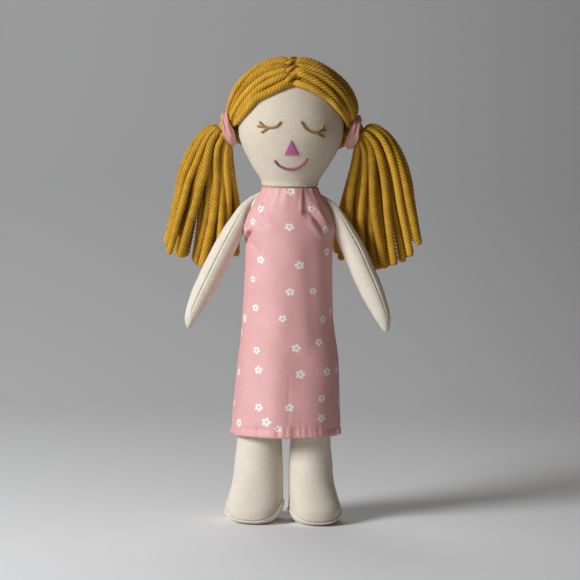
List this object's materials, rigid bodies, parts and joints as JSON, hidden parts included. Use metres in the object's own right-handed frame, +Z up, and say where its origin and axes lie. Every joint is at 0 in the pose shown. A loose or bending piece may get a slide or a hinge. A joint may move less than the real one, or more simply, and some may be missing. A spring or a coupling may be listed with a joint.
{
  "type": "waldorf doll",
  "caption": "Soft standing rag doll with a bulb-shaped canvas head, stuffed limbs, yarn pigtails held by fabric bands and a sleeveless printed shift dress.",
  "frame": {"origin": "on the floor, under the middle of the doll's box", "axes": "+Z up from the soles to the crown; the doll faces -Y; +X is the doll's own left"},
  "size_m": [0.1954, 0.0782, 0.3489],
  "materials": {
    "canvas": "matte natural cotton canvas, plain weave",
    "fibre": "loose stuffing fibre",
    "yarn": "golden plied bulky yarn, matte",
    "hair_tie_cotton": "plain rose cotton strip",
    "dress_cotton": "pink cotton with a small white flower print, matte",
    "brown_thread": "golden brown embroidery thread",
    "plum_thread": "plum embroidery thread, satin stitched",
    "mauve_thread": "mauve embroidery thread"
  },
  "bodies": {
    "torso": {"head_skin": "canvas", "torso_skin": "canvas", "hip_seam": "canvas", "head_stuffing": "fibre", "torso_stuffing": "fibre", "hair_parting": "yarn", "left_hair": "yarn", "right_hair": "yarn", "left_hair_tie": "hair_tie_cotton", "right_hair_tie": "hair_tie_cotton", "dress_front": "dress_cotton", "dress_back": "dress_cotton", "dress_neck_binding": "dress_cotton", "left_eye": "brown_thread", "right_eye": "brown_thread", "nose": "plum_thread", "mouth": "mauve_thread"},
    "left_arm": {"left_arm_skin": "canvas", "left_arm_stuffing": "fibre"},
    "right_arm": {"right_arm_skin": "canvas", "right_arm_stuffing": "fibre"},
    "left_leg": {"left_leg_skin": "canvas", "left_leg_stuffing": "fibre", "left_sole": "canvas"},
    "right_leg": {"right_leg_skin": "canvas", "right_leg_stuffing": "fibre", "right_sole": "canvas"},
    "left_pigtail": {"left_pigtail": "yarn"},
    "right_pigtail": {"right_pigtail": "yarn"}
  },
  "joints": [
    {"name": "left_arm_swing", "type": "hinge", "parent": "torso", "child": "left_arm", "pos_m": [0.02958, -0.00287, 0.24424], "axis": [-1, 0, 0], "range_deg": [0, 120]},
    {"name": "right_arm_swing", "type": "hinge", "parent": "torso", "child": "right_arm", "pos_m": [-0.02958, -0.00287, 0.24424], "axis": [-1, 0, 0], "range_deg": [0, 120]},
    {"name": "left_leg_fold", "type": "hinge", "parent": "torso", "child": "left_leg", "pos_m": [0.019, -0.00287, 0.131], "axis": [-1, 0, 0], "range_deg": [0, 90], "deforming": ["dress_front", "dress_back"]},
    {"name": "right_leg_fold", "type": "hinge", "parent": "torso", "child": "right_leg", "pos_m": [-0.019, -0.00287, 0.131], "axis": [-1, 0, 0], "range_deg": [0, 90], "deforming": ["dress_front", "dress_back"]},
    {"name": "left_pigtail_lift", "type": "hinge", "parent": "torso", "child": "left_pigtail", "pos_m": [0.06215, 0.00113, 0.29137], "axis": [0, -1, 0], "range_deg": [0, 80]},
    {"name": "right_pigtail_lift", "type": "hinge", "parent": "torso", "child": "right_pigtail", "pos_m": [-0.06215, 0.00113, 0.29137], "axis": [0, 1, 0], "range_deg": [0, 80]}
  ],
  "couplings": [
    {"joint": "right_leg_fold", "follows": "left_leg_fold", "ratio": 1}
  ]
}
